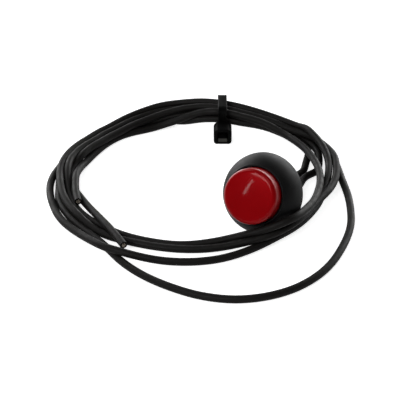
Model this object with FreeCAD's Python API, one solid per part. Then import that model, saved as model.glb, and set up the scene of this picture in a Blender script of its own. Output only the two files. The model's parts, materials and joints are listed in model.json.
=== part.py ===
import FreeCAD, Part
import math
import os

# Momentary panel pushbutton with two coiled leads.
# Switch pieces are drawn along the switch's own axis: z = 0 is the panel seat, +z points out of the button.
# They are then laid on the table, where the rim of the dome and the rear edge of the barrel touch it.

os.makedirs("parts", exist_ok=True)
V = FreeCAD.Vector

# Bezel and barrel
dome_radius = 10.5
lip_width = 0.44
lip_round = 0.15
barrel_radius = 6.0
barrel_length = 10.0
well_gap = 0.2
floor_top = 1.4
floor_bottom = -0.8
chamber_wall = 1.7
thread_pitch = 1.0
thread_depth = 0.5
thread_start = 1.2
thread_crest = 0.2
rear_chamfer = 0.2
resin_depth = 1.8

# Button and travel
travel = 2.2
button_radius = 7.1
button_proud = 4.1
button_edge_round = 1.2
button_crown = 0.35
button_wall = 1.2
button_top = 1.5
skirt_gap = 0.3
boss_radius = 2.3
boss_depth = 2.7

# Stem, its retaining ring and seal
stem_radius = 1.5
stem_into_boss = 2.2
neck_radius = 0.85
stem_head_radius = 1.25
stem_head_height = 0.4
clip_radius = 2.8
clip_groove_radius = 1.1
clip_thickness = 0.45
clip_mouth = 1.6
seal_wire = 1.1
gland_radius = 2.7
seal_washer_thickness = 0.38

# Springs
return_wire = 0.5
return_radius = 4.1
return_turns = 5
contact_wire = 0.25
contact_radius = 1.2
contact_turns = 2
contact_spring_length = 1.5

# Contacts
bridge_share = 0.6
bridge_length = 7.0
bridge_width = 2.4
bridge_thickness = 0.5
contact_spacing = 5.2
tip_thickness = 0.3
tip_radius = 0.7
terminal_head_radius = 1.0
terminal_head_height = 0.41
terminal_pin_radius = 0.55
cup_radius = 0.85
cup_bore = 0.62
cup_length = 1.0
cup_floor = 0.2
solder_bead = 0.2
solder_lap = 0.1
fixed_tip_extra = 0.1
base_wall = 1.2
base_thickness = 1.25
stem_recess_radius = 1.6
stem_recess_depth = 0.56

# Panel hardware
gasket_inset = 1.0
gasket_thickness = 0.9
panel_gap = 2.3
washer_width = 1.6
washer_thickness = 0.8
washer_tooth_length = 0.9
washer_teeth = 12
washer_notch = 1.5
nut_wall = 1.0
nut_thickness = 2.5
nut_bevel_inset = 0.1

# Leads
lead_radius = 1.0
core_radius = 0.5
lead_in_resin = 0.6
end_bore_depth = 3.0
core_proud = 0.25
lead_straight = 4.5
arc_share = 0.45

# Named clearances
running = 0.05
snug = 0.02
press_gap = 0.01

# Coil, seen from above: angles count anticlockwise from the coil's right-hand side in the main view.
# Each measure has a plain value and swells: amount, angle, spread before and spread after that angle.
coil_x = -26.9
coil_y = 12.95
coil_heading = 24.6
coil_shape = {
    "middle": (36.5, [(-8.0, 92, 36, 38), (5.3, 311, 15, 18), (0.8, 2, 20, 20)]),
    "width": (8.0, [(3.0, 252, 28, 28), (-5.3, 309, 14, 18)]),
    "low": (0.0, [(2.9, 76, 26, 26), (2.2, 308, 14, 16)]),
    "high": (2.4, [(4.7, 76, 40, 40), (6.4, 308, 12, 20), (1.6, 350, 25, 25)]),
    "lean": (0.0, [(0.4, 308, 14, 18)]),
}
coil_step = 10
coil_corner_height = 0.3
coil_corner_width = 0.6
loop_mean = 36.4
loop_swing = 22.5
loop_angle = 288.0
loop_spread_left = 27.4
loop_spread_right = 37.0
loop_from = 234
loop_to = 374
loop_step = 11

# Cable tie
tie_angle = 71.6
tie_reach = 29.3
tie_centre_height = 5.05
strap_width = 2.5
strap_thickness = 1.05
strap_inner_depth = 9.0
strap_inner_height = 4.5
strap_bend = 1.6
head_width = 5.0
head_depth = 4.4
head_height = 4.6
head_round = 0.4
slot_width = 2.7
slot_height = 1.9
slot_below_top = 0.8
slot_depth = 2.8


# Shapes along the switch's axis
def rod(radius, low, high, x=0.0):
    return Part.makeCylinder(radius, high - low, V(x, 0, low))


def ring(outer, inner, low, high):
    return rod(outer, low, high).cut(rod(inner, low - 1.0, high + 1.0))


def turned(profile):
    corners = [V(r, 0, z) for r, z in profile]
    face = Part.Face(Part.makePolygon(corners + corners[:1]))
    return face.revolve(V(0, 0, 0), V(0, 0, 1), 360)


def circles_at(shape, height, radius):
    found = []
    for edge in shape.Edges:
        if edge.Degenerated:
            continue
        curve = edge.Curve
        if isinstance(curve, Part.Circle) and abs(curve.Radius - radius) < 1e-3:
            if abs(curve.Center.z - height) < 1e-3:
                found.append(edge)
    return found


# Springs: half turns that meet in line, each climbing half a pitch
def spring(radius, wire, low, high, turns):
    halves = 2 * turns
    step = (high - low - wire) / halves
    reach = math.hypot(radius, step / 2)
    bottom = low + wire / 2
    edges = []
    for half in range(halves):
        hand = -1 if half % 2 else 1
        start = V(hand * radius, 0, bottom + half * step)
        middle = V(0, hand * reach, bottom + (half + 0.5) * step)
        end = V(-hand * radius, 0, bottom + (half + 1) * step)
        edges.append(Part.Arc(start, middle, end).toShape())
    section = Part.Wire(Part.makeCircle(wire / 2, V(radius, 0, bottom), V(0, 1, 0)))
    return Part.Wire(edges).makePipeShell([section], True, False)


# Cords: straight runs joined by arcs as large as the runs allow
def cord_path(points):
    starts = [points[0]]
    edges = []
    radii = []
    for before, corner, after in zip(points, points[1:], points[2:]):
        into = (corner - before).normalize()
        out = (after - corner).normalize()
        half_turn = into.getAngle(out) / 2
        trim = arc_share * min((corner - before).Length, (after - corner).Length)
        radius = trim / math.tan(half_turn)
        radii.append(radius)
        first = corner - into * trim
        last = corner + out * trim
        inward = (out - into).normalize()
        middle = corner + inward * (radius / math.cos(half_turn) - radius)
        edges.append(Part.LineSegment(starts[-1], first).toShape())
        edges.append(Part.Arc(first, middle, last).toShape())
        starts.append(last)
    edges.append(Part.LineSegment(starts[-1], points[-1]).toShape())
    return Part.Wire(edges), radii


def cord(name, points):
    path, radii = cord_path(points)
    section = Part.Wire(Part.makeCircle(lead_radius, points[0], points[1] - points[0]))
    tube = path.makePipeShell([section], True, False)
    expected = math.pi * lead_radius ** 2 * path.Length
    print(name, "length", round(path.Length, 1), "smallest radius", round(min(radii), 1),
          "volume ratio", round(tube.Volume / expected, 4))
    return tube


# Housing: domed bezel and threaded barrel in one moulding
well_radius = button_radius + well_gap
lip_radius = well_radius + lip_width
dome_height = math.sqrt(dome_radius ** 2 - lip_radius ** 2)
chamber_radius = barrel_radius - chamber_wall
base_radius = barrel_radius - base_wall
resin_front = -barrel_length + resin_depth
base_front = resin_front + base_thickness


def make_housing():
    dome = Part.makeSphere(dome_radius).common(rod(dome_radius + 1.0, 0, dome_height))
    well = rod(well_radius, floor_top, dome_height + 1.0)
    dome = dome.cut(well)
    rounded = circles_at(dome, dome_height, lip_radius) + circles_at(dome, dome_height, well_radius)
    dome = dome.makeFillet(lip_round, rounded)
    barrel = turned([(0, floor_top), (barrel_radius, floor_top),
                     (barrel_radius, -barrel_length + rear_chamfer),
                     (barrel_radius - rear_chamfer, -barrel_length), (0, -barrel_length)])
    body = dome.fuse(barrel)
    body = body.cut(rod(gland_radius, gland_floor, floor_top + 1.0))
    body = body.cut(rod(stem_radius + running, floor_bottom - 1.0, floor_top))
    body = body.cut(rod(chamber_radius, base_front, floor_bottom))
    body = body.cut(rod(base_radius, -barrel_length - 1.0, base_front))
    half_groove = (thread_pitch - thread_crest) / 2
    count = int((barrel_length - thread_start - rear_chamfer) / thread_pitch)
    for turn in range(count):
        z = -thread_start - thread_pitch * (turn + 0.5)
        groove = turned([(barrel_radius + 0.01, z - half_groove), (barrel_radius - thread_depth, z),
                         (barrel_radius + 0.01, z + half_groove)])
        body = body.cut(groove)
    return body.removeSplitter()


# Button cap: a cup with a slightly crowned, round-edged face and a boss for the stem
face_height = dome_height + button_proud
skirt_low = floor_top + travel + skirt_gap
cap_ceiling = face_height - button_top


def make_button_cap():
    crown_radius = (button_radius ** 2 + button_crown ** 2) / (2 * button_crown)
    crown = Part.makeSphere(crown_radius, V(0, 0, face_height - crown_radius))
    cap = rod(button_radius, skirt_low, face_height + 1.0).common(crown)
    rim = circles_at(cap, face_height - button_crown, button_radius)
    cap = cap.makeFillet(button_edge_round, rim)
    hollow = ring(button_radius - button_wall, boss_radius, skirt_low - 1.0, cap_ceiling)
    below_boss = rod(button_radius - button_wall, skirt_low - 1.0, cap_ceiling - boss_depth)
    socket = rod(stem_radius + press_gap, skirt_low, cap_ceiling - boss_depth + stem_into_boss)
    return cap.cut(hollow).cut(below_boss).cut(socket)


# Stem: guided in the floor, stopped by its retaining ring, necked for the contact bar.
# The contacts stand on the terminal base, and the neck ends one spring above the bar.
terminal_head_top = base_front + terminal_head_height
fixed_tip_top = terminal_head_top + tip_thickness
bridge_travel = bridge_share * travel
bridge_bottom = fixed_tip_top + snug + bridge_travel + tip_thickness
bridge_rest_top = bridge_bottom + bridge_thickness
stem_shoulder = bridge_rest_top + contact_spring_length
gland_floor = floor_top - seal_washer_thickness - seal_wire - snug
clip_top = floor_bottom - running
stem_top = cap_ceiling - boss_depth + stem_into_boss - snug


def make_plunger():
    groove_top = clip_top + snug
    groove_bottom = clip_top - clip_thickness - snug
    head_top = bridge_bottom - snug
    return turned([
        (0, stem_top), (stem_radius, stem_top),
        (stem_radius, groove_top), (clip_groove_radius, groove_top),
        (clip_groove_radius, groove_bottom), (stem_radius, groove_bottom),
        (stem_radius, stem_shoulder), (neck_radius, stem_shoulder),
        (neck_radius, head_top), (stem_head_radius, head_top),
        (stem_head_radius, head_top - stem_head_height), (0, head_top - stem_head_height)])


def make_plunger_clip():
    clip = ring(clip_radius, clip_groove_radius + snug, clip_top - clip_thickness, clip_top)
    mouth = Part.makeBox(clip_mouth, clip_radius + 1.0, clip_thickness + 1.0,
                         V(-clip_mouth / 2, 0, clip_top - clip_thickness - 0.5))
    return clip.cut(mouth)


def make_button_seal():
    ring_radius = stem_radius + running + seal_wire / 2
    return Part.makeTorus(ring_radius, seal_wire / 2, V(0, 0, gland_floor + seal_wire / 2))


def make_seal_washer():
    return ring(gland_radius - snug, stem_radius + running, floor_top - seal_washer_thickness, floor_top)


# Contacts: a bar under the stem closes on two fixed terminals
contact_x = contact_spacing / 2


def make_contact_bridge():
    bar = Part.makeBox(bridge_length, bridge_width, bridge_thickness,
                       V(-bridge_length / 2, -bridge_width / 2, bridge_bottom))
    corners = [edge for edge in bar.Edges if abs(edge.tangentAt(edge.FirstParameter).z) > 0.9]
    bar = bar.makeFillet(bridge_width / 3, corners)
    return bar.cut(rod(neck_radius + running, bridge_bottom - 1.0, bridge_rest_top + 1.0))


def make_tip_pair(top, radius):
    low = top - tip_thickness
    return Part.makeCompound([rod(radius, low, top, -contact_x), rod(radius, low, top, contact_x)])


def make_terminal(x):
    head = rod(terminal_head_radius, base_front, terminal_head_top, x)
    pin = rod(terminal_pin_radius, resin_front, base_front, x)
    cup = rod(cup_radius, resin_front - cup_length, resin_front, x)
    cup = cup.cut(rod(cup_bore, resin_front - cup_length - 1.0, resin_front - cup_floor, x))
    return head.fuse(pin).fuse(cup).removeSplitter()


def make_terminal_base():
    base = rod(base_radius - snug, resin_front, base_front)
    for x in (-contact_x, contact_x):
        base = base.cut(rod(terminal_pin_radius + press_gap, resin_front - 1.0, base_front + 1.0, x))
    return base.cut(rod(stem_recess_radius, base_front - stem_recess_depth, base_front + 1.0))


def make_solder_joints():
    low = resin_front - cup_length - solder_bead
    joints = []
    for x in (-contact_x, contact_x):
        fill = rod(cup_bore - press_gap, resin_front - cup_length, resin_front - cup_floor, x)
        bead = Part.makeCone(core_radius + solder_lap, cup_bore + solder_lap, solder_bead, V(x, 0, low))
        bore = rod(core_radius + press_gap, low - 1.0, resin_front - cup_floor, x)
        joints.append(fill.fuse(bead).cut(bore).removeSplitter())
    return Part.makeCompound(joints)


def make_potting_plug():
    plug = rod(base_radius - snug, -barrel_length, resin_front)
    inner_front = -barrel_length + lead_in_resin
    for x in (-contact_x, contact_x):
        plug = plug.cut(rod(cup_radius + press_gap, inner_front, resin_front + 1.0, x))
        plug = plug.cut(rod(lead_radius + press_gap, -barrel_length - 1.0, inner_front, x))
    return plug


# Panel hardware
gasket_radius = dome_radius - gasket_inset
washer_radius = barrel_radius + washer_width
washer_tooth_root = barrel_radius + washer_tooth_length
nut_across_flats = 2 * (barrel_radius + nut_wall)
nut_front = -gasket_thickness - panel_gap - washer_thickness


def make_panel_gasket():
    return ring(gasket_radius, barrel_radius + running, -gasket_thickness, 0)


def make_lock_washer():
    low = nut_front
    washer = ring(washer_radius, barrel_radius + running, low, low + washer_thickness)
    gap_angle = 360.0 / washer_teeth
    for tooth in range(washer_teeth):
        notch = Part.makeBox(washer_tooth_root, washer_notch, washer_thickness + 2.0,
                             V(0, -washer_notch / 2, low - 1.0))
        notch = notch.common(rod(washer_tooth_root, low - 1.0, low + washer_thickness + 1.0))
        notch.rotate(V(0, 0, 0), V(0, 0, 1), gap_angle * tooth)
        washer = washer.cut(notch)
    return washer


def make_hex_nut():
    corner = nut_across_flats / math.sqrt(3)
    low = nut_front - nut_thickness
    points = []
    for side in range(7):
        angle = math.radians(60 * side)
        points.append(V(corner * math.cos(angle), corner * math.sin(angle), low))
    nut = Part.Face(Part.makePolygon(points)).extrude(V(0, 0, nut_thickness))
    bevel_start = nut_across_flats / 2 - nut_bevel_inset
    bevel = turned([(0, low), (bevel_start, low), (corner, low + (corner - bevel_start) / 2),
                    (corner, nut_front), (0, nut_front)])
    return nut.common(bevel).cut(rod(barrel_radius + running, low - 1.0, nut_front + 1.0))


# The coil of both leads, as one closed ring of the coil's outer shape
def bump(angle, centre, spread_before, spread_after):
    away = (angle - centre + 180.0) % 360.0 - 180.0
    spread = spread_before if away < 0 else spread_after
    return math.exp(-0.5 * (away / spread) ** 2)


def coil_point(angle, radius, height):
    turn = math.radians(angle + coil_heading)
    return V(coil_x + radius * math.cos(turn), coil_y + radius * math.sin(turn), height)


def coil_measure(name, angle):
    plain, swells = coil_shape[name]
    return plain + sum(amount * bump(angle, *place) for amount, *place in swells)


def coil_section(angle):
    middle = coil_measure("middle", angle)
    half = coil_measure("width", angle) / 2
    low = coil_measure("low", angle)
    high = coil_measure("high", angle)
    lean = coil_measure("lean", angle)
    cut = min(coil_corner_height * (high - low), coil_corner_width * half)
    outline = [(-half, low + cut), (-half + cut, low), (half - cut, low), (half, low + cut),
               (half, high - cut), (half - cut, high), (-half + cut, high), (-half, high - cut)]
    centre = (low + high) / 2
    outline = [(across + lean * (height - centre), height) for across, height in outline]
    corners = [coil_point(angle, middle + across, height) for across, height in outline]
    return Part.makePolygon(corners + corners[:1])


def make_lead_coil():
    halves = []
    for start in (0, 180):
        stations = range(start, start + 181, coil_step)
        halves.append(Part.makeLoft([coil_section(angle) for angle in stations], True, False))
    return halves[0].fuse(halves[1])


def make_lead_loop():
    points = []
    for angle in range(loop_from, loop_to, loop_step):
        radius = loop_mean + loop_swing * bump(angle, loop_angle, loop_spread_left, loop_spread_right)
        points.append(coil_point(angle, radius, lead_radius))
    return cord("lead_loop", points)


# Cable tie: strap round the coil, head on the table inside it
def make_cable_tie():
    def loop(depth, height, bend, width):
        block = Part.makeBox(width, depth, height, V(-width / 2, -depth / 2, -height / 2))
        along = [edge for edge in block.Edges if abs(edge.tangentAt(edge.FirstParameter).x) > 0.9]
        return block.makeFillet(bend, along)

    outer_depth = strap_inner_depth + 2 * strap_thickness
    outer_height = strap_inner_height + 2 * strap_thickness
    strap = loop(outer_depth, outer_height, strap_bend + strap_thickness, strap_width)
    strap = strap.cut(loop(strap_inner_depth, strap_inner_height, strap_bend, strap_width + 1.0))
    head_front = -outer_depth / 2 - head_depth
    head_low = -tie_centre_height + snug
    head = Part.makeBox(head_width, head_depth + strap_thickness / 2, head_height,
                        V(-head_width / 2, head_front, head_low))
    head = head.makeFillet(head_round, head.Edges)
    slot_low = head_low + head_height - slot_below_top - slot_height
    slot = Part.makeBox(slot_width, slot_depth, slot_height, V(-slot_width / 2, head_front - 0.01, slot_low))
    tie = strap.fuse(head).cut(slot).removeSplitter()
    tie.rotate(V(0, 0, 0), V(0, 0, 1), coil_heading)
    tie.translate(coil_point(tie_angle, tie_reach, tie_centre_height))
    return tie


# Switch pieces along their own axis
terminal_x = {"a": contact_x, "b": -contact_x}
switch = {
    "housing": make_housing(),
    "button_cap": make_button_cap(),
    "plunger": make_plunger(),
    "plunger_clip": make_plunger_clip(),
    "return_spring": spring(return_radius, return_wire, floor_top + snug, cap_ceiling - snug, return_turns),
    "button_seal": make_button_seal(),
    "seal_washer": make_seal_washer(),
    "contact_bridge": make_contact_bridge(),
    "bridge_tips": make_tip_pair(bridge_bottom, tip_radius),
    "contact_spring": spring(contact_radius, contact_wire, bridge_rest_top + snug, stem_shoulder - snug,
                             contact_turns),
    "terminal_base": make_terminal_base(),
    "terminal_a": make_terminal(terminal_x["a"]),
    "terminal_b": make_terminal(terminal_x["b"]),
    "fixed_tips": make_tip_pair(fixed_tip_top, tip_radius + fixed_tip_extra),
    "solder_joints": make_solder_joints(),
    "potting_plug": make_potting_plug(),
    "panel_gasket": make_panel_gasket(),
    "lock_washer": make_lock_washer(),
    "hex_nut": make_hex_nut(),
}

# Lay the switch on the table, centred over the origin
tilt = math.atan2(dome_radius - barrel_radius, barrel_length - rear_chamfer)
lie = FreeCAD.Placement(V(0, 0, 0), FreeCAD.Rotation(V(1, 0, 0), 90 - math.degrees(tilt)))
for shape in switch.values():
    shape.transformShape(lie.toMatrix())
box = Part.makeCompound(list(switch.values())).optimalBoundingBox(False, False)
seat = V(0, -(box.YMin + box.YMax) / 2, -box.ZMin)
for shape in switch.values():
    shape.translate(seat)
print("tilt", round(math.degrees(tilt), 3), "seat", round(seat.y, 4), round(seat.z, 4))
print("size", round(box.XLength, 2), round(box.YLength, 2), round(box.ZLength, 2))


def to_row(x, y, z):
    return lie.multVec(V(x, y, z)) + seat


# Leads: each leaves its solder cup along the axis, reaches the table and runs into the coil
lead_start = -barrel_length + lead_in_resin
lead_free = -barrel_length - lead_straight


def make_tail(name, x, route):
    return cord(name, [to_row(x, 0, lead_start), to_row(x, 0, lead_free)] + [V(*point) for point in route])


def make_end(name, route):
    points = [V(*point) for point in route]
    tube = cord(name, points)
    inward = (points[-2] - points[-1]).normalize()
    return tube.cut(Part.makeCylinder(core_radius + press_gap, end_bore_depth, points[-1], inward))


def make_core(x, route):
    stub_low = -barrel_length + lead_in_resin
    stub = rod(core_radius, stub_low, resin_front - cup_floor - snug, x)
    stub.transformShape(lie.toMatrix())
    stub.translate(seat)
    last = V(*route[-1])
    outward = (last - V(*route[-2])).normalize()
    tip_length = end_bore_depth - snug + core_proud
    tip = Part.makeCylinder(core_radius, tip_length, last + outward * core_proud, -outward)
    return Part.makeCompound([stub, tip])


tail_a = [(2.3, 19.65, 1.25), (1.5, 25.25, 1.0), (2.9, 30.05, 1.0), (3.6, 34.05, 1.1)]
tail_b = [(-2.3, 19.65, 1.25), (-0.7, 25.25, 1.0), (-0.5, 29.65, 1.0), (-2.2, 35.55, 1.0),
          (-5.2, 38.45, 1.3)]
end_a = [(-40.0, 34.55, 2.6), (-44.6, 31.65, 1.8), (-48.3, 28.25, 1.3), (-51.8, 23.45, 1.1),
         (-54.4, 18.65, 1.0), (-55.6, 13.45, 1.2), (-54.8, 6.65, 2.1), (-53.9, 0.95, 3.0),
         (-52.6, -3.55, 3.1), (-50.4, -7.75, 3.1), (-48.4, -10.95, 3.1), (-46.3, -13.85, 3.0)]
end_b = [(-59.5, 9.85, 1.0), (-57.6, 5.05, 1.0), (-55.4, 0.45, 1.0), (-52.4, -4.15, 1.0),
         (-48.4, -8.15, 1.1), (-43.0, -12.85, 1.6), (-36.4, -18.45, 2.6), (-31.3, -22.95, 3.1),
         (-26.3, -27.15, 3.1)]

leads = {
    "lead_a_tail": make_tail("lead_a_tail", terminal_x["a"], tail_a),
    "lead_b_tail": make_tail("lead_b_tail", terminal_x["b"], tail_b),
    "lead_coil": make_lead_coil(),
    "lead_loop": make_lead_loop(),
    "lead_a_end": make_end("lead_a_end", end_a),
    "lead_b_end": make_end("lead_b_end", end_b),
    "lead_a_core": make_core(terminal_x["a"], end_a),
    "lead_b_core": make_core(terminal_x["b"], end_b),
    "cable_tie": make_cable_tie(),
}

# Write every piece
for name, shape in {**switch, **leads}.items():
    shape.exportStep(f"parts/{name}.step")
    print(name, "solids", len(shape.Solids), "valid", shape.isValid(), "volume", round(shape.Volume, 3))
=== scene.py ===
# %% [markdown]
# # A panel pushbutton with coiled leads
# A red button sits in a black domed bezel. Two thin black leads leave the rear of its barrel, lie on the table in a
# loose coil and are held by one small cable tie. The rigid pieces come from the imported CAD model. This lesson adds the
# camera, the flexible leads, the tie, the springs, every finish and the light.

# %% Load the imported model
import json
import math
import bmesh
import bpy
from mathutils import Matrix, Vector


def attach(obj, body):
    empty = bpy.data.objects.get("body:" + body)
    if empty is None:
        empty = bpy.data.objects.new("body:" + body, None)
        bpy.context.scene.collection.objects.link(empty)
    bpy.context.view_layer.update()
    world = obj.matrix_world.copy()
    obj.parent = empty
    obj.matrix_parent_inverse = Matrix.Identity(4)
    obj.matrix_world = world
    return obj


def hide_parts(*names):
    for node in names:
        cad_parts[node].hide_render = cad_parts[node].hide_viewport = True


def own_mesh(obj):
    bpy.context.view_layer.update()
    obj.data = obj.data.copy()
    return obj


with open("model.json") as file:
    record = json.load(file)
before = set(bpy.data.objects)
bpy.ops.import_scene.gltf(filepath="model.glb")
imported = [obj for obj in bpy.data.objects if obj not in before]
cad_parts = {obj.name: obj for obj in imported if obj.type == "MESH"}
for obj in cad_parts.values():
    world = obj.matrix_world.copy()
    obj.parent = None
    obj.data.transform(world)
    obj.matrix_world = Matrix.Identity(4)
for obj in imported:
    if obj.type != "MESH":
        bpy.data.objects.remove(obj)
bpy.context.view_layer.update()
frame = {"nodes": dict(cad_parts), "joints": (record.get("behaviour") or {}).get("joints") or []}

mm = 0.001
nodes = frame["nodes"]

# %% [markdown]
# ## Camera
# The picture looks down at about a third of a right angle, a little from the right of the button. The camera could be
# matched by eye, but a turn, a rise and a distance round the point it looks at are easier to reason about. A long lens
# far away keeps the ring of leads close to a true ellipse, so the camera stands well back.

# %% Camera
view_turn = math.radians(24.6)
view_rise = math.radians(32.5)
aim = Vector((-19.70, 4.30, 0.0)) * mm
stand_off = 450 * mm
backwards = Vector((math.sin(view_turn) * math.cos(view_rise), -math.cos(view_turn) * math.cos(view_rise),
                    math.sin(view_rise)))


def put_in_scene(name, data):
    made = bpy.data.objects.new(name, data)
    bpy.context.scene.collection.objects.link(made)
    return made


camera = put_in_scene("camera", bpy.data.cameras.new("camera"))
camera.data.lens = 153.4
camera.data.clip_start = 10 * mm
camera.data.clip_end = 20.0
camera.location = aim + backwards * stand_off
camera.rotation_mode = "QUATERNION"
camera.rotation_quaternion = (-backwards).to_track_quat("-Z", "Y")
bpy.context.scene.camera = camera
print("camera at", [round(c, 3) for c in camera.location])

# %% [markdown]
# ## Where the switch lies
# The switch rests on the rim of its dome and the rear edge of its barrel, so its axis leans. The joint of the button
# already holds that direction. Points along the switch could be written straight in the shared frame, but then each of
# them would hide the lean. They are easier to read in the switch's own frame, where z = 0 is the panel seat and +z
# points out of the button, and one small function turns them into the shared frame.

# %% The switch's own frame, in millimetres
press = Vector(frame["joints"][0]["axis"]).normalized()
out = -press
side = Vector((1, 0, 0))
rise = out.cross(side)
seat = Vector((0, 0.5071, 9.5421))


def on_switch(x, y, z):
    return (seat + side * x + rise * y + out * z) * mm


print("lean of the axis", round(math.degrees(math.asin(-press.z)), 2), "degrees")

# %% [markdown]
# ## The two leads
# Each lead is one length of soft wire: straight out of the barrel, down to the table, twice round the coil, and then to
# a bare cut end. One smooth spline per lead gives that line. The tail and the end are listed points. The turns
# could be a plain helix, but loose turns differ in size, cross over each other, climb over the rim of the switch and go
# into the cable tie. So they are worked out in a loop from stations round the coil, each an angle, a radius and a
# height.

# %% Coil stations, in degrees and millimetres
coil_centre = Vector((-26.9, 12.95, 0))
coil_heading = 24.6
lead_radius = 1.0

turns_a = [
    (12, 36.3, 1.0), (18, 37.3, 1.0), (25, 37.6, 1.0), (36, 36.3, 1.2), (48, 33.6, 2.4), (60, 30.9, 3.3),
    (72, 29.3, 3.85), (84, 29.1, 3.6), (94, 29.1, 3.1), (104, 29.3, 2.25), (114, 29.9, 1.2),
    (124, 30.5, 1.0), (134, 31.0, 1.0), (142, 30.9, 1.0), (150, 30.3, 1.0), (158, 30.7, 1.0),
    (166, 32.1, 1.0), (174, 33.55, 1.0), (182, 34.7, 1.0), (190, 35.0, 1.0), (200, 36.35, 1.0),
    (208, 36.8, 1.0), (216, 37.2, 1.0), (224, 37.7, 1.0), (232, 38.5, 1.0), (240, 40.5, 1.0),
    (248, 44.2, 1.0), (256, 47.9, 1.0), (266, 52.4, 1.0), (273, 55.6, 1.0), (281, 58.2, 1.0),
    (288, 59.0, 1.0), (296, 58.7, 1.0), (307, 56.1, 1.0), (318, 52.1, 1.0), (331, 47.9, 1.0),
    (338, 45.5, 1.0), (345, 43.6, 1.0), (352, 41.9, 1.0), (358, 40.9, 1.0), (366, 40.4, 1.0),
    (372, 40.4, 1.0), (378, 40.3, 1.0), (385, 39.6, 1.0), (396, 38.5, 1.2), (408, 35.6, 2.4),
    (420, 32.9, 3.3), (432, 31.4, 3.85), (444, 31.2, 4.0), (454, 31.2, 3.9), (464, 31.5, 3.5),
    (474, 31.2, 3.05), (484, 30.4, 2.95), (494, 29.95, 2.8), (502, 30.1, 2.8), (510, 30.35, 2.8),
    (518, 31.3, 2.95), (526, 32.1, 2.95), (532, 32.5, 3.05), (542, 32.6, 2.7), (550, 32.7, 1.6),
    (560, 33.2, 1.0), (575, 33.7, 1.0), (590, 33.5, 1.0), (602, 33.5, 1.0), (614, 33.5, 1.0),
    (627, 33.6, 1.0), (640, 33.7, 1.6), (647, 34.4, 2.4), (653, 35.8, 3.6), (659, 39.0, 5.9),
    (665, 41.5, 8.0), (669, 41.8, 8.3), (673, 41.1, 8.0), (678, 39.9, 7.2), (688, 38.1, 5.8),
    (695, 36.9, 5.0), (702, 36.1, 4.5), (714, 35.05, 3.9), (722, 34.4, 3.6), (729, 33.8, 3.4),
    (738, 33.2, 3.3), (745, 32.6, 3.2), (756, 32.2, 2.9), (768, 30.6, 4.2), (780, 28.4, 5.2),
    (792, 27.6, 5.75), (804, 27.1, 5.0), (814, 26.5, 3.5), (820, 26.6, 2.5)]
turns_b = [
    (20, 35.1, 1.0), (28, 35.3, 1.0), (36, 34.3, 1.2), (48, 31.6, 2.4), (60, 28.6, 3.1), (72, 27.0, 3.7),
    (84, 26.6, 3.2), (90, 27.3, 2.2), (97, 29.0, 1.2), (104, 30.9, 1.0), (114, 32.2, 1.0),
    (124, 32.6, 1.0), (134, 33.1, 1.0), (142, 33.3, 1.0), (150, 33.4, 1.0), (158, 34.1, 1.0),
    (166, 34.6, 1.0), (174, 35.4, 1.0), (182, 36.7, 1.0), (190, 37.55, 1.0), (200, 38.3, 1.05),
    (207, 38.95, 1.1), (213, 39.6, 1.2), (219, 39.95, 1.35), (225, 40.35, 1.6), (231, 41.1, 2.1),
    (236, 42.1, 2.7), (241, 43.0, 3.05), (246, 42.8, 2.95), (252, 42.2, 2.2), (260, 41.5, 1.3),
    (271, 41.1, 1.0), (282, 40.5, 1.0), (294, 39.6, 1.6), (305, 38.5, 1.9), (315, 38.0, 1.8),
    (328, 37.3, 1.6), (335, 37.1, 1.6), (342, 36.9, 1.8), (350, 37.0, 2.3), (358, 37.45, 2.8),
    (366, 37.9, 3.0), (372, 38.0, 3.5), (378, 37.9, 4.0), (385, 37.6, 4.5), (390, 37.7, 4.6),
    (396, 37.0, 3.75), (408, 34.7, 4.4), (420, 32.5, 5.6), (432, 32.0, 5.95), (444, 32.2, 5.75),
    (454, 32.7, 5.0), (464, 33.15, 4.4), (474, 33.0, 3.6), (484, 32.5, 3.1), (494, 31.9, 2.8),
    (502, 32.1, 2.8), (510, 32.35, 2.8), (518, 33.2, 2.85), (526, 33.9, 2.95), (534, 34.4, 2.9),
    (542, 34.6, 2.8), (550, 34.7, 2.8), (560, 35.2, 2.75), (568, 35.6, 2.6), (576, 35.9, 2.5),
    (584, 36.05, 1.75), (592, 36.2, 1.2), (606, 35.3, 1.0), (618, 35.3, 1.0), (627, 35.5, 1.0),
    (639, 35.9, 1.2), (651, 37.5, 2.5), (660, 39.5, 4.05), (665, 40.0, 4.6), (670, 40.3, 5.2),
    (674, 40.0, 5.4), (682, 38.5, 4.4), (688, 37.7, 3.7), (695, 37.6, 3.4), (702, 38.2, 3.1),
    (708, 38.8, 2.8), (714, 39.35, 2.85), (720, 39.6, 2.9), (726, 39.9, 2.95), (732, 40.0, 2.9),
    (738, 39.5, 2.6), (745, 38.5, 2.75), (750, 37.1, 2.9), (756, 35.15, 2.95), (768, 32.6, 4.2),
    (780, 30.3, 5.2), (792, 29.7, 5.75), (804, 29.6, 5.5), (814, 29.3, 4.95), (824, 29.3, 3.95),
    (834, 29.0, 3.1), (844, 28.3, 3.0), (854, 27.9, 2.8), (862, 28.1, 2.8), (870, 28.4, 2.85),
    (878, 29.3, 2.95), (886, 30.2, 2.75)]
print("stations", len(turns_a), len(turns_b))

# %% Points of the turns, worked out every few degrees
turn_step = 5


def at_angle(stations, angle):
    last = next(i for i in range(1, len(stations)) if angle <= stations[i][0])
    around = [stations[min(max(i, 0), len(stations) - 1)] for i in range(last - 2, last + 2)]
    before, start, end, after = around
    width = end[0] - start[0]
    share = (angle - start[0]) / width
    values = []
    for i in (1, 2):
        slope_in = (end[i] - before[i]) / max(end[0] - before[0], 1) * width
        slope_out = (after[i] - start[i]) / max(after[0] - start[0], 1) * width
        cube = 2 * (start[i] - end[i]) + slope_in + slope_out
        square = 3 * (end[i] - start[i]) - 2 * slope_in - slope_out
        values.append(start[i] + share * (slope_in + share * (square + share * cube)))
    return values


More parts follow.
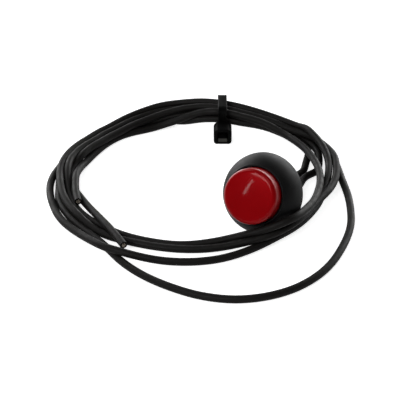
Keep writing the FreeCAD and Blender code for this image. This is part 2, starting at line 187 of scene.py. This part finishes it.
def on_coil(angle, radius, height):
    turn = math.radians(angle + coil_heading)
    return coil_centre + Vector((radius * math.cos(turn), radius * math.sin(turn), height))


def turn_points(stations):
    first, final = stations[0][0], stations[-1][0]
    steps = round((final - first) / turn_step)
    angles = [first + (final - first) * i / steps for i in range(steps + 1)]
    return [on_coil(angle, *at_angle(stations, angle)) for angle in angles]


print("points in the turns", len(turn_points(turns_a)), len(turn_points(turns_b)))

# %% Tails and ends, in millimetres
terminal_reach = 2.6
insulation_start, straight_until = -9.4, -14.5
tail_a = [(2.3, 19.65, 1.25), (1.6, 24.25, 1.0), (2.5, 26.85, 1.0), (3.9, 29.45, 1.0)]
tail_b = [(-2.3, 19.65, 1.25), (-0.6, 24.65, 1.0), (0.5, 27.55, 1.0), (-0.7, 32.05, 1.0)]
end_a = [(-44.6, 33.65, 1.5), (-46.7, 31.75, 1.0), (-48.6, 29.55, 1.0), (-51.3, 26.65, 1.0),
         (-53.3, 23.35, 1.0), (-54.5, 19.55, 1.0), (-55.1, 15.65, 1.0), (-55.3, 11.65, 1.0),
         (-55.3, 7.65, 1.0), (-55.1, 4.55, 1.3), (-54.3, 1.55, 2.1), (-53.4, -1.55, 2.8),
         (-52.1, -4.45, 3.0), (-50.3, -7.85, 3.0), (-48.3, -11.25, 3.0), (-46.3, -13.85, 3.0)]
end_b = [(-57.0, 3.95, 1.4), (-56.3, 0.75, 1.0), (-54.7, -2.25, 1.0), (-52.7, -5.25, 1.0),
         (-49.1, -8.45, 1.1), (-43.7, -13.15, 1.6), (-36.8, -18.65, 2.6), (-31.3, -22.95, 3.1),
         (-26.3, -27.15, 3.1)]


def lead_line(x, tail, stations, end):
    start = [on_switch(x, 0, insulation_start), on_switch(x, 0, straight_until)]
    rest = [Vector(p) for p in tail] + turn_points(stations) + [Vector(p) for p in end]
    return start + [p * mm for p in rest]


line_a = lead_line(terminal_reach, tail_a, turns_a, end_a)
line_b = lead_line(-terminal_reach, tail_b, turns_b, end_b)
print("control points", len(line_a), len(line_b))

# %% [markdown]
# A mesh tube would need a ring of points at every step. A curve object with a round bevel is the simplest true wire:
# the spline carries the line and the bevel its thickness. The order of the spline and its clamped ends are set after
# the points, or the spline stays a chain of straight runs. Blender adds a point's radius to the box of the curve, so
# the points carry the wire's true radius and the bevel is 1.

# %% Lay the leads


def lay_lead(name, line):
    curve = bpy.data.curves.new(name, "CURVE")
    curve.dimensions = "3D"
    curve.bevel_depth = 1.0
    curve.bevel_resolution = 8
    curve.resolution_u = 4
    curve.use_fill_caps = True
    spline = curve.splines.new("NURBS")
    spline.points.add(len(line) - 1)
    for point, place in zip(spline.points, line):
        point.co = (*place, 1.0)
        point.radius = lead_radius * mm
    spline.order_u = 3
    spline.use_endpoint_u = True
    length = sum((b - a).length for a, b in zip(line, line[1:]))
    print(name, "points add up to", round(length, 4), "m")
    return put_in_scene(name, curve)


lead_a = lay_lead("lead_a", line_a)
lead_b = lay_lead("lead_b", line_b)
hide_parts("lead_a_tail", "lead_a_end", "lead_loop", "lead_coil")
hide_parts("lead_b_tail", "lead_b_end", "lead_coil")
for lead in (lead_a, lead_b):
    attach(lead, "housing")

# %% [markdown]
# ## Helpers for finishes
# Colours are written as the hex values a screen shows, and one function turns them into the linear light that Blender
# adds up. Another small function adds a shader node with its settings and links, so that each finish below reads as a
# short list of what it is made of. Patterns take their scale from a real size in millimetres.

# %% Colour and node helpers


def linear(code):
    parts = [int(code[i:i + 2], 16) / 255 for i in (1, 3, 5)]
    return [c / 12.92 if c <= 0.04045 else ((c + 0.055) / 1.055) ** 2.4 for c in parts] + [1.0]


def add(material, kind, settings=None, links=None):
    tree = material.node_tree
    made = tree.nodes.new(kind)
    for name, value in (settings or {}).items():
        if hasattr(made, name):
            setattr(made, name, value)
        else:
            made.inputs[name].default_value = value
    for name, source in (links or {}).items():
        tree.links.new(source, made.inputs[name])
    return made


def per_mm(size):
    return 1 / (size * mm)


def new_finish(name, **values):
    material = bpy.data.materials.new(name)
    material.use_nodes = True
    shader = material.node_tree.nodes["Principled BSDF"]
    for socket, value in values.items():
        shader.inputs[socket.replace("_", " ")].default_value = value
    return material, shader


print("white is", [round(c, 3) for c in linear("#FFFFFF")])

# %% [markdown]
# ## Finishes of plastics and rubber
# Moulded and extruded plastics get their look from a faint uneven surface more than from colour: a fine grain spreads
# the reflection and a broader waviness makes it wander. One flat colour would look like paint. So each finish uses one
# noise for the grain, which feeds the bump, and one broader noise, which shifts colour and roughness a little.

# %% A moulded plastic with grain and a slight unevenness
# The sockets of the Mix node that hold its two colours and give the mixed one, and the range most noise stays in
mix_from, mix_to, mixed = 6, 7, 2
noise_low, noise_high = 0.3, 0.7


def moulded(name, dark, light, rough, ior, grain, depth, patch, shine=0.5):
    material, shader = new_finish(name, IOR=ior, Specular_IOR_Level=shine)
    tree = material.node_tree
    place = add(material, "ShaderNodeTexCoord").outputs["Object"]
    fine = add(material, "ShaderNodeTexNoise", {"Scale": per_mm(grain), "Detail": 3.0, "Roughness": 0.6},
               {"Vector": place})
    broad = add(material, "ShaderNodeTexNoise", {"Scale": per_mm(patch), "Detail": 4.0, "Roughness": 0.55},
                {"Vector": place})
    colour = add(material, "ShaderNodeMix", {"data_type": "RGBA"}, {"Factor": broad.outputs["Fac"]})
    colour.inputs[mix_from].default_value = linear(dark)
    colour.inputs[mix_to].default_value = linear(light)
    sheen = add(material, "ShaderNodeMapRange",
                {"From Min": noise_low, "From Max": noise_high, "To Min": rough[0], "To Max": rough[1]},
                {"Value": broad.outputs["Fac"]})
    bump = add(material, "ShaderNodeBump", {"Strength": 1.0, "Distance": depth * mm}, {"Height": fine.outputs["Fac"]})
    tree.links.new(colour.outputs[mixed], shader.inputs["Base Color"])
    tree.links.new(sheen.outputs["Result"], shader.inputs["Roughness"])
    tree.links.new(bump.outputs["Normal"], shader.inputs["Normal"])
    print("finish", name)
    return material


# %% Plastics and rubber, with grain, depth and patch in millimetres
# The true grain of such skins is near 0.05 mm, too fine to show, so it is drawn several times coarser in all of them.
# Glass-filled nylon from a spark-eroded tool: the rough skin leaves little gloss, so it reads as a matt black
black_nylon = moulded("glass_filled_nylon", "#09090A", "#0F0F10", rough=(0.48, 0.58), ior=1.53,
                      grain=0.25, depth=0.004, patch=3.0, shine=0.125)
# Unfilled nylon of the cable tie: smoother, with a tighter gloss on its edges
tie_nylon = moulded("tie_nylon", "#060606", "#0A0A0A", rough=(0.42, 0.52), ior=1.53,
                    grain=0.4, depth=0.004, patch=2.0, shine=0.035)
# The same nylon on the cut-off end of the strap, rougher and painted a paler grey: a painted highlight below the slot
strap_end_painted_highlight = moulded("strap_end_painted_highlight", "#22221F", "#484843", rough=(0.6, 0.75), ior=1.53,
                    grain=0.2, depth=0.01, patch=0.5, shine=0.3)
# Extruded soft PVC of the leads: a dull black whose sheen wanders along the wire
lead_pvc = moulded("soft_pvc", "#090807", "#13110F", rough=(0.5, 0.66), ior=1.54,
                   grain=0.35, depth=0.008, patch=1.6, shine=0.17)
# Nitrile rubber of the seals: matt, with a little bloom
seal_rubber = moulded("nitrile_rubber", "#161616", "#232323", rough=(0.6, 0.8), ior=1.52,
                      grain=0.3, depth=0.01, patch=2.0)
# Epoxy potting poured into the barrel: glossy with a slight meniscus waviness
potting_epoxy = moulded("potting_epoxy", "#121314", "#191A1B", rough=(0.12, 0.25), ior=1.55,
                        grain=1.5, depth=0.02, patch=3.0)
# Turned acetal of the stem: waxy white
white_acetal = moulded("acetal", "#DAD8D0", "#E6E4DC", rough=(0.35, 0.45), ior=1.48,
                       grain=0.3, depth=0.003, patch=2.0)
# Phenolic of the terminal base: brown, slightly speckled
phenolic = moulded("phenolic", "#4A2F1F", "#5C3B27", rough=(0.4, 0.55), ior=1.6,
                   grain=0.3, depth=0.005, patch=1.0)

# %% [markdown]
# ## The red cap
# The cap is polished ABS. Its colour is deep because light goes a little way into the plastic before it comes back.
# Scattering under the surface could show that, but it is slow and is lost when the model is exported. So the finish has
# two layers instead: a sharp clear coat, which gives the bright line on the face and round the edge, over a softer
# gloss with a red tint. A very shallow waviness keeps the polish from looking perfect.

# %% Red ABS, with sizes in millimetres
# Polished ABS: a deep even red with a sharp shine on top
flow_size, ripple_size, ripple_depth = 6.0, 1.2, 0.0007
red_abs, shader = new_finish("red_abs", IOR=1.54, Roughness=0.32, Specular_IOR_Level=0.32,
                             Specular_Tint=linear("#FF3038"), Coat_Weight=0.22, Coat_Roughness=0.06, Coat_IOR=1.45)
tree = red_abs.node_tree
place = add(red_abs, "ShaderNodeTexCoord").outputs["Object"]
flow = add(red_abs, "ShaderNodeTexNoise", {"Scale": per_mm(flow_size), "Detail": 2.0}, {"Vector": place})
tint = add(red_abs, "ShaderNodeMix", {"data_type": "RGBA"}, {"Factor": flow.outputs["Fac"]})
tint.inputs[mix_from].default_value = linear("#8A0106")
tint.inputs[mix_to].default_value = linear("#960209")
ripple = add(red_abs, "ShaderNodeTexNoise", {"Scale": per_mm(ripple_size), "Detail": 2.0}, {"Vector": place})
waves = add(red_abs, "ShaderNodeBump", {"Strength": 1.0, "Distance": ripple_depth * mm},
            {"Height": ripple.outputs["Fac"]})
tree.links.new(tint.outputs[mixed], shader.inputs["Base Color"])
tree.links.new(waves.outputs["Normal"], shader.inputs["Normal"])
tree.links.new(waves.outputs["Normal"], shader.inputs["Coat Normal"])
print("finish", red_abs.name)

# %% [markdown]
# ## Metals
# Metals are told apart by tint and by how their surface was worked. Drawn and stamped metal shows fine lines, plated
# metal a soft even gloss. One noise shifts tint, gloss and bump together, because a scratch changes all three at once.
# All of them keep the default index of refraction.

# %% A metal with a worn grain


def metal(name, dark, light, rough, grain, depth):
    material, shader = new_finish(name, Metallic=1.0)
    tree = material.node_tree
    place = add(material, "ShaderNodeTexCoord").outputs["Object"]
    fine = add(material, "ShaderNodeTexNoise", {"Scale": per_mm(grain), "Detail": 4.0}, {"Vector": place})
    colour = add(material, "ShaderNodeMix", {"data_type": "RGBA"}, {"Factor": fine.outputs["Fac"]})
    colour.inputs[mix_from].default_value = linear(dark)
    colour.inputs[mix_to].default_value = linear(light)
    worn = add(material, "ShaderNodeMapRange",
               {"From Min": noise_low, "From Max": noise_high, "To Min": rough[0], "To Max": rough[1]},
               {"Value": fine.outputs["Fac"]})
    bump = add(material, "ShaderNodeBump", {"Strength": 1.0, "Distance": depth * mm}, {"Height": fine.outputs["Fac"]})
    tree.links.new(colour.outputs[mixed], shader.inputs["Base Color"])
    tree.links.new(worn.outputs["Result"], shader.inputs["Roughness"])
    tree.links.new(bump.outputs["Normal"], shader.inputs["Normal"])
    print("finish", name)
    return material


# %% Metals, with grain and depth in millimetres
# Draw marks and plating grain are finer than 0.05 mm. They are drawn coarser here, so that they show at all.
# Bright nickel over steel: slightly warm, even gloss
nickel_steel = metal("nickel_plated_steel", "#A8A39A", "#B4AFA6", rough=(0.36, 0.46), grain=0.3, depth=0.001)
# Drawn spring steel: grey with fine draw marks
spring_steel = metal("spring_steel", "#8D8E90", "#A6A7A9", rough=(0.25, 0.4), grain=0.2, depth=0.003)
# Stamped brass of the contacts: a clear yellow with a brushed gloss
contact_brass = metal("stamped_brass", "#B58A3C", "#C9A04E", rough=(0.25, 0.4), grain=0.3, depth=0.003)
# Silver contact tips: nearly white, lightly dulled
silver_tip = metal("silver_contact", "#D8D6D0", "#E8E6E0", rough=(0.18, 0.32), grain=0.2, depth=0.002)
# Solder that cooled slowly: dull and grainy
tin_solder = metal("tin_solder", "#9C9DA0", "#B5B6B9", rough=(0.35, 0.55), grain=0.25, depth=0.01)
# Tinned copper strands, roughened by the cutters: warm grey
tinned_copper = metal("tinned_copper", "#B5AA9C", "#CCC2B4", rough=(0.5, 0.65), grain=0.15, depth=0.004)

# %% [markdown]
# ## Dressing the rigid pieces
# The rigid pieces keep the shape of their solids, so all they need is a finish. One table of piece and finish is easier
# to check against the list of parts than a line of code for each piece.

# %% Put the finishes on the CAD pieces
worn_by = {
    "housing": black_nylon, "plunger": white_acetal, "plunger_clip": spring_steel,
    "button_seal": seal_rubber, "seal_washer": black_nylon, "contact_bridge": contact_brass, "bridge_tips": silver_tip,
    "terminal_base": phenolic, "terminal_a": contact_brass, "terminal_b": contact_brass, "fixed_tips": silver_tip,
    "solder_joints": tin_solder, "potting_plug": potting_epoxy, "panel_gasket": seal_rubber,
    "lock_washer": nickel_steel, "hex_nut": nickel_steel}
for name, material in worn_by.items():
    nodes[name].data.materials.clear()
    nodes[name].data.materials.append(material)
for lead in (lead_a, lead_b):
    lead.data.materials.append(lead_pvc)
print("finishes put on", len(worn_by), "pieces and 2 leads")

# %% [markdown]
# ## New pieces
# Several pieces are made here: the cap, the springs, the cores of the leads and the tie. Each starts as a set of points
# and faces. One function makes the object from them, smooths it except at sharp edges, hides the imported pieces it
# stands for and hangs it on the body that carries it.

# %% From points and faces to a piece
sharp_angle = math.radians(35)


def new_piece(name, shape, material, finish_slot, body, *stands_for):
    bmesh.ops.recalc_face_normals(shape, faces=shape.faces)
    mesh = bpy.data.meshes.new(name)
    shape.to_mesh(mesh)
    shape.free()
    mesh.shade_smooth()
    mesh.set_sharp_from_angle(angle=sharp_angle)
    mesh.materials.append(material)
    piece = put_in_scene(name, mesh)
    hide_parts(*stands_for)
    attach(piece, body)
    print("piece", name, "faces", len(mesh.polygons))
    return piece


print("edges stay sharp above", round(math.degrees(sharp_angle)), "degrees")

# %% [markdown]
# ## The button cap
# The cap is a cup with a barely crowned face, a rounded edge and a boss for the stem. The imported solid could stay, but
# its polished face is a mirror, and a mirror shows every facet of a coarse mesh. So the cap is turned here from the
# profile of its solid, with many fine rings, in the way a lathe would cut it.

# %% Profile of the cap, radius and height in millimetres
cap_radius, cap_face, cap_crown, cap_round = 7.1, 11.195, 0.35, 1.2
cap_wall, cap_skirt, cap_ceiling = 1.2, 3.9, 9.695
boss_radius, boss_low, socket_radius, socket_top = 2.3, 6.995, 1.51, 9.195
crown_radius = (cap_radius ** 2 + cap_crown ** 2) / (2 * cap_crown)
crown_middle = cap_face - crown_radius
round_out = cap_radius - cap_round
round_up = math.sqrt((crown_radius - cap_round) ** 2 - round_out ** 2)
round_start = math.atan2(round_up, round_out)
crown_rings, round_rings = 24, 12
profile = []
for i in range(crown_rings):
    lean = (math.pi / 2 - round_start) * i / crown_rings
    profile.append((crown_radius * math.sin(lean), crown_middle + crown_radius * math.cos(lean)))
for i in range(round_rings + 1):
    lean = round_start * (1 - i / round_rings)
    profile.append((round_out + cap_round * math.cos(lean), crown_middle + round_up + cap_round * math.sin(lean)))
inner_wall = cap_radius - cap_wall
profile += [(cap_radius, cap_skirt), (inner_wall, cap_skirt), (inner_wall, cap_ceiling), (boss_radius, cap_ceiling),
            (boss_radius, boss_low), (socket_radius, boss_low), (socket_radius, socket_top), (0, socket_top)]
print("profile points", len(profile))

# %% Turn the cap
cap_sides = 120
cap = bmesh.new()
rings = []
for radius, height in profile:
    turns = [2 * math.pi * k / cap_sides for k in range(cap_sides if radius else 1)]
    rings.append([cap.verts.new(on_switch(radius * math.cos(t), radius * math.sin(t), height)) for t in turns])
for ring, following in zip(rings, rings[1:]):
    for k in range(cap_sides):
        corners = [ring[k % len(ring)], ring[k - 1 if len(ring) > 1 else 0]]
        corners += [following[k - 1 if len(following) > 1 else 0], following[k % len(following)]]
        cap.faces.new(list(dict.fromkeys(corners)))
new_piece("button_cap_abs", cap, red_abs, "red_cap", "button", "button_cap")

# %% [markdown]
# ## Springs
# Springs and stranded cores are all round wire that follows a line. A bevelled curve would do as well, but rings of
# points laid along the line and joined give a closed mesh of true thickness in every turn, and one function then serves
# them all. A compression spring is wound with its end turns closed, so that it stands square on its seat. In the switch
# both springs shorten with the button: the return spring against the floor of the housing, and the small contact spring
# against the bridge, which follows the button for only part of the way. Here each is wound at one length, the return
# spring carried by the housing and the contact spring by the bridge.

# %% Round wire along a line


def wire_along(shape, line, radius, sides):
    rings = []
    across = (line[1] - line[0]).orthogonal()
    for i, place in enumerate(line):
        ahead = (line[min(i + 1, len(line) - 1)] - line[max(i - 1, 0)]).normalized()
        across = (across - ahead * across.dot(ahead)).normalized()
        upward = ahead.cross(across)
        turns = [2 * math.pi * k / sides for k in range(sides)]
        rings.append([shape.verts.new(place + (across * math.cos(t) + upward * math.sin(t)) * radius) for t in turns])
    for ring, following in zip(rings, rings[1:]):
        for k in range(sides):
            shape.faces.new((ring[k], ring[k - 1], following[k - 1], following[k]))
    shape.faces.new(rings[0])
    shape.faces.new(rings[-1][::-1])


# %% A wound spring, in millimetres
steps_per_turn, spring_sides = 28, 12


def wound(low, high, coil_radius, wire, turns, closed):
    shape = bmesh.new()
    steps = turns * steps_per_turn
    free = high - low - wire - 2 * closed * wire
    line = []
    for i in range(steps + 1):
        turned = turns * i / steps
        flat = min(turned, closed) + max(turned - turns + closed, 0)
        rise_share = (min(max(turned, closed), turns - closed) - closed) / (turns - 2 * closed)
        height = low + wire / 2 + flat * wire + free * rise_share
        around = 2 * math.pi * turned
        line.append(on_switch(coil_radius * math.cos(around), coil_radius * math.sin(around), height))
    wire_along(shape, line, wire / 2 * mm, spring_sides)
    return shape


# %% Return spring and contact spring
return_low, return_high = 1.42, 9.675
return_turns = wound(return_low, return_high, coil_radius=4.1, wire=0.5, turns=5, closed=1.0)
return_spring = new_piece("return_spring_wire", return_turns, spring_steel, "spring_steel", "housing", "return_spring")
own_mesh(return_spring)

bridge_top, bridge_gap, spring_top = -4.1, 0.02, -2.62
contact_turns = wound(bridge_top + bridge_gap, spring_top, coil_radius=1.2, wire=0.25, turns=3, closed=0.5)
contact_spring = new_piece("contact_spring_wire", contact_turns, spring_steel, "spring_steel", "bridge",
                           "contact_spring")
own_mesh(contact_spring)

# %% [markdown]
# ## Stranded cores
# The core of a flexible lead is a bundle of fine tinned strands, six twisted round one. It shows as a small pale dot in
# the cut end of each lead, and once more where the stripped lead enters its solder cup. A single rod would look like
# solid wire, so every strand is drawn.

# %% Strands, in millimetres
strand_radius, strand_ring, strand_sides = 0.16, 0.33, 8
outer_strands, twist_length = 6, 7.0
strand_step, fewest_steps = 0.4, 4


def strands(shape, start, end):
    run = end - start
    axis = run.normalized()
    first = axis.orthogonal()
    second = axis.cross(first)
    steps = max(fewest_steps, round(run.length / (strand_step * mm)))
    wire_along(shape, [start + run * i / steps for i in range(steps + 1)], strand_radius * mm, strand_sides)
    for k in range(outer_strands):
        line = []
        for i in range(steps + 1):
            turn = 2 * math.pi * (k / outer_strands + run.length / mm / twist_length * i / steps)
            sideways = first * math.cos(turn) + second * math.sin(turn)
            line.append(start + run * i / steps + sideways * strand_ring * mm)
        wire_along(shape, line, strand_radius * mm, strand_sides)


# %% Cores of both leads, in millimetres
cup_floor = -8.42
core_inside, core_proud = 2.9, 0.12


def lead_core(name, x, line, *stands_for):
    shape = bmesh.new()
    strands(shape, on_switch(x, 0, insulation_start), on_switch(x, 0, cup_floor))
    outward = (line[-1] - line[-2]).normalized()
    strands(shape, line[-1] - outward * core_inside * mm, line[-1] + outward * core_proud * mm)
    return new_piece(name, shape, tinned_copper, "tinned_copper", "housing", *stands_for)


core_a = lead_core("lead_a_strands", terminal_reach, line_a, "lead_a_core")
core_b = lead_core("lead_b_strands", -terminal_reach, line_b, "lead_b_core")

# %% [markdown]
# ## The cable tie
# A small tie is one nylon moulding: a strap with a rail along each edge and a rack of teeth on its inner side, and a
# head with a slot and a sprung pawl. A plain band with a box on it would miss what makes a tie a tie. So the strap is a
# section carried round a rounded rectangle, with every other section cut deeper on the inside to make the teeth.

# %% Line of the strap, in millimetres
tie_angle, tie_radius, tie_height = 71.6, 29.3, 5.05
tie_spot = Matrix.Translation(on_coil(tie_angle, tie_radius, tie_height) * mm)
tie_place = tie_spot @ Matrix.Rotation(view_turn, 4, "Z") @ Matrix.Scale(mm, 4)
bend, bend_steps = 2.125, 10
strap_corners = [(2.9, 0.65), (-2.9, 0.65), (-2.9, -0.65), (2.9, -0.65)]
straight_steps = [16, 4, 16, 4]
strap_line = []
for k, (y, z) in enumerate(strap_corners):
    for i in range(bend_steps):
        turn = math.radians(90 * k + 90 / bend_steps * i)
        strap_line.append((Vector((0, y + bend * math.cos(turn), z + bend * math.sin(turn))), turn))
    turn = math.radians(90 * k + 90)
    start = Vector((0, y + bend * math.cos(turn), z + bend * math.sin(turn)))
    next_y, next_z = strap_corners[(k + 1) % len(strap_corners)]
    run = Vector((0, next_y - y, next_z - z))
    for i in range(straight_steps[k]):
        strap_line.append((start + run * i / straight_steps[k], turn))
print("strap sections", len(strap_line))

# %% Strap with its rails and teeth, in millimetres
tie = bmesh.new()
outer_side = [(1.25, 0.34), (1.1, 0.51), (0.85, 0.46), (-0.85, 0.46), (-1.1, 0.51), (-1.25, 0.34)]
inner_level, tooth_half, tooth_depth = -0.5, 0.8, 0.16
inner_left = [(-1.25, -0.36), (-1.1, inner_level), (-0.85, inner_level)]
inner_right = [(0.85, inner_level), (1.1, inner_level), (1.25, -0.36)]
rings = []
for i, (place, turn) in enumerate(strap_line):
    outward = Vector((0, math.cos(turn), math.sin(turn)))
    tooth = inner_level + tooth_depth * (i % 2)
    section = outer_side + inner_left + [(-tooth_half, tooth), (tooth_half, tooth)] + inner_right
    rings.append([tie.verts.new(place + Vector((x, 0, 0)) + outward * depth) for x, depth in section])
for i in range(len(rings)):
    for k in range(len(rings[i])):
        tie.faces.new((rings[i - 1][k - 1], rings[i - 1][k], rings[i][k], rings[i][k - 1]))
print("strap points", len(tie.verts), "faces", len(tie.faces))

# %% [markdown]
# The head stands on the table on the near side of the bundle. Its slot opens towards the viewer. The end of the strap
# comes through the slot along its floor and is cut off flush. Its cut face is painted a paler grey, a painted
# highlight for the light caught below the slot. The pawl is the ridged tongue above it. Rounded edges catch the light
# that tells the head from the dark strap.

# %% Head with its slot, in millimetres
head_half, head_front, head_back = 2.5, -9.95, -5.1
head_low, head_high, head_cut_low, head_cut_high = -5.03, -0.43, 0.55, 0.85
slot_half, slot_low, slot_high, slot_back, slot_cut = 1.4, -4.15, -1.25, -7.15, 0.15
mouth_flare, mouth_lift, mouth_cut, mouth_depth = 0.12, 0.08, 0.2, 0.35
edge_round, edge_steps = 0.4, 4


def eight_corners(half, y, low, high, cut_low, cut_high):
    right = [(half - cut_low, low), (half, low + cut_low), (half, high - cut_high), (half - cut_high, high)]
    return [tie.verts.new((x, y, z)) for x, z in right + [(-x, z) for x, z in right[::-1]]]


outer_front = eight_corners(head_half, head_front, head_low, head_high, head_cut_low, head_cut_high)
outer_back = eight_corners(head_half, head_back, head_low, head_high, head_cut_low, head_cut_high)
mouth = eight_corners(slot_half + mouth_flare, head_front, slot_low - mouth_flare, slot_high + mouth_lift,
                      mouth_cut, mouth_cut)
throat = eight_corners(slot_half, head_front + mouth_depth, slot_low, slot_high, slot_cut, slot_cut)
slot_floor = eight_corners(slot_half, slot_back, slot_low, slot_high, slot_cut, slot_cut)
for near, far in ((outer_back, outer_front), (outer_front, mouth), (mouth, throat), (throat, slot_floor)):
    for k in range(8):
        tie.faces.new((near[k - 1], near[k], far[k], far[k - 1]))
tie.faces.new(slot_floor)
tie.faces.new(outer_back)
head_corners = set(outer_front + outer_back)
rounded = [edge for edge in tie.edges if set(edge.verts) <= head_corners]
bmesh.ops.bevel(tie, geom=rounded, offset=edge_round, segments=edge_steps, profile=0.5, affect="EDGES")
print("edges rounded on the head", len(rounded))

# %% Pawl and cut end of the strap, in millimetres
pawl_half = 0.95
ridge = [(-9.75, -3.12), (-9.75, -2.86), (-9.1, -2.6), (-9.1, -2.78), (-8.45, -2.5), (-8.45, -2.68), (-7.8, -2.4),
         (-7.2, -2.4), (-7.2, -3.12)]
near_side = [tie.verts.new((-pawl_half, y, z)) for y, z in ridge]
far_side = [tie.verts.new((pawl_half, y, z)) for y, z in ridge]
for k in range(len(ridge)):
    tie.faces.new((near_side[k - 1], near_side[k], far_side[k], far_side[k - 1]))
tie.faces.new(near_side)
tie.faces.new(far_side)

stub_half, stub_low, stub_high, stub_corner = 1.22, -4.13, -3.1, 0.1
stub_proud, stub_sunk = 0.05, 0.05
stub_cut = eight_corners(stub_half, head_front - stub_proud, stub_low, stub_high, stub_corner, stub_corner)
stub_back = eight_corners(stub_half, slot_back - stub_sunk, stub_low, stub_high, stub_corner, stub_corner)
for k in range(8):
    tie.faces.new((stub_back[k - 1], stub_back[k], stub_cut[k], stub_cut[k - 1]))
tie.faces.new(stub_back)
# The cut face takes the second finish, a paler grey that is a painted highlight
tie.faces.new(stub_cut).material_index = 1
bmesh.ops.transform(tie, matrix=tie_place, verts=tie.verts)
cable_tie = new_piece("cable_tie_nylon", tie, tie_nylon, "tie_nylon", "housing", "cable_tie")
cable_tie.data.materials.append(strap_end_painted_highlight)

# %% [markdown]
# ## Table and light
# The picture was taken on white in soft light that comes mostly from both sides behind the object, so wires that run
# away from the viewer look paler than those that run across. More light on the table would also wash out the red cap.
# So the table is white and adds a little light of its own to what the camera sees, and less to what a gloss or a clear
# piece shows. It stays white and still takes a soft shadow.

# %% Table
table_half, table_gap = 3.0, 0.02
table_corners = [(-table_half, -table_half, 0), (table_half, -table_half, 0), (table_half, table_half, 0),
                 (-table_half, table_half, 0)]
table_mesh = bpy.data.meshes.new("table")
table_mesh.from_pydata(table_corners, [], [(0, 1, 2, 3)])
table = put_in_scene("table", table_mesh)
table.location.z = -table_gap * mm
# Matt white board: spreads the light evenly and shows hardly any gloss
white_board, shader = new_finish("matt_white_board", Roughness=0.9, Specular_IOR_Level=0.1)
shader.inputs["Base Color"].default_value = linear("#F2F2F2")
shader.inputs["Emission Color"].default_value = linear("#FFFFFF")
table.data.materials.append(white_board)
print("table", 2 * table_half, "m wide")

# %% Glow of the table, for what is seen and what is mirrored
table_seen, table_mirrored = 0.8, 0.2


def glow_for(owner, seen, mirrored):
    links = owner.node_tree.links
    rays = add(owner, "ShaderNodeLightPath").outputs
    either = add(owner, "ShaderNodeMath", {"operation": "MAXIMUM"})
    links.new(rays["Is Glossy Ray"], either.inputs[0])
    links.new(rays["Is Transmission Ray"], either.inputs[1])
    glow = add(owner, "ShaderNodeMath", {"operation": "MAXIMUM"})
    for i, (ray, share) in enumerate(((rays["Is Camera Ray"], seen), (either.outputs["Value"], mirrored))):
        part = add(owner, "ShaderNodeMath", {"operation": "MULTIPLY"})
        links.new(ray, part.inputs[0])
        part.inputs[1].default_value = share
        links.new(part.outputs["Value"], glow.inputs[i])
    return glow.outputs["Value"]


white_board.node_tree.links.new(glow_for(white_board, table_seen, table_mirrored), shader.inputs["Emission Strength"])
print("table glows", table_seen, "when seen and", table_mirrored, "when mirrored")

# %% [markdown]
# The room is bright at two places low behind the object, one to the left and one to the right, like two tall windows,
# and dim elsewhere. Lamps there would do, but seen from other sides they would stand in the picture. The nearness of a
# direction to either window, made smooth, sets the strength of the light instead. Seen straight on, past the edge of
# the table, the room is plain white.

# %% Surroundings
windows = ((-0.827, 0.505, -0.1), (0.163, 0.987, -0.1))
window_edge, window_core = 0.78, 0.94
room_dim, room_bright = 0.05, 6.0
room_seen, room_mirrored = 1.0, 0.1
world = bpy.data.worlds.new("studio")
bpy.context.scene.world = world
world.use_nodes = True
links = world.node_tree.links
background = world.node_tree.nodes["Background"]
background.inputs["Color"].default_value = linear("#FFFFFF")
direction = add(world, "ShaderNodeTexCoord").outputs["Generated"]
nearest = add(world, "ShaderNodeMath", {"operation": "MAXIMUM"})
for i, window in enumerate(windows):
    near = add(world, "ShaderNodeVectorMath", {"operation": "DOT_PRODUCT"})
    links.new(direction, near.inputs[0])
    near.inputs[1].default_value = window
    links.new(near.outputs["Value"], nearest.inputs[i])
strength = add(world, "ShaderNodeMapRange",
               {"interpolation_type": "SMOOTHSTEP", "From Min": window_edge, "From Max": window_core,
                "To Min": room_dim, "To Max": room_bright},
               {"Value": nearest.outputs["Value"]})
room_glow = add(world, "ShaderNodeMath", {"operation": "MAXIMUM"})
links.new(strength.outputs["Result"], room_glow.inputs[0])
links.new(glow_for(world, room_seen, room_mirrored), room_glow.inputs[1])
links.new(room_glow.outputs["Value"], background.inputs["Strength"])
print("windows in the room", len(windows))

# %% [markdown]
# One broad lamp stands high at the left and behind, one nearly overhead, and a smaller one in front gives the cap its
# soft red glow towards the top. A narrow strip low in front on the left draws the slanted bright line on the face of
# the cap: the place follows from the slope of the crowned face there. Broad lamps keep every shadow soft.

# %% Lamps, in metres and watts


def soft_lamp(name, place, aimed_at, size, power, roll=0.0):
    lamp = bpy.data.lights.new(name, "AREA")
    lamp.shape = "RECTANGLE"
    lamp.size, lamp.size_y = size
    lamp.energy = power
    made = put_in_scene(name, lamp)
    made.location = place
    made.rotation_mode = "QUATERNION"
    facing = (Vector(aimed_at) - Vector(place)).to_track_quat("-Z", "Y")
    made.rotation_quaternion = facing @ Matrix.Rotation(math.radians(roll), 3, "Z").to_quaternion()
    print("lamp", name, power, "W")


middle = (0, 0, 0)
cap_middle = (0, -0.0095, 0.013)
soft_lamp("left_softbox", (-0.5, 0.15, 0.5), middle, size=(0.5, 0.5), power=1.4)
soft_lamp("top_softbox", (0.2, -0.3, 0.75), middle, size=(0.6, 0.4), power=0.8)
soft_lamp("front_softbox", (-0.12, -0.65, 0.47), middle, size=(0.3, 0.3), power=2.4)
soft_lamp("strip", (-0.207, -0.541, 0.1985), cap_middle, size=(0.009, 0.075), power=0.034, roll=-16.0)
bpy.context.scene.view_settings.view_transform = "Standard"

# %% [markdown]
# ## Last update
# The leads are free cords. At the end the scene is brought up to date.

bpy.context.view_layer.update()
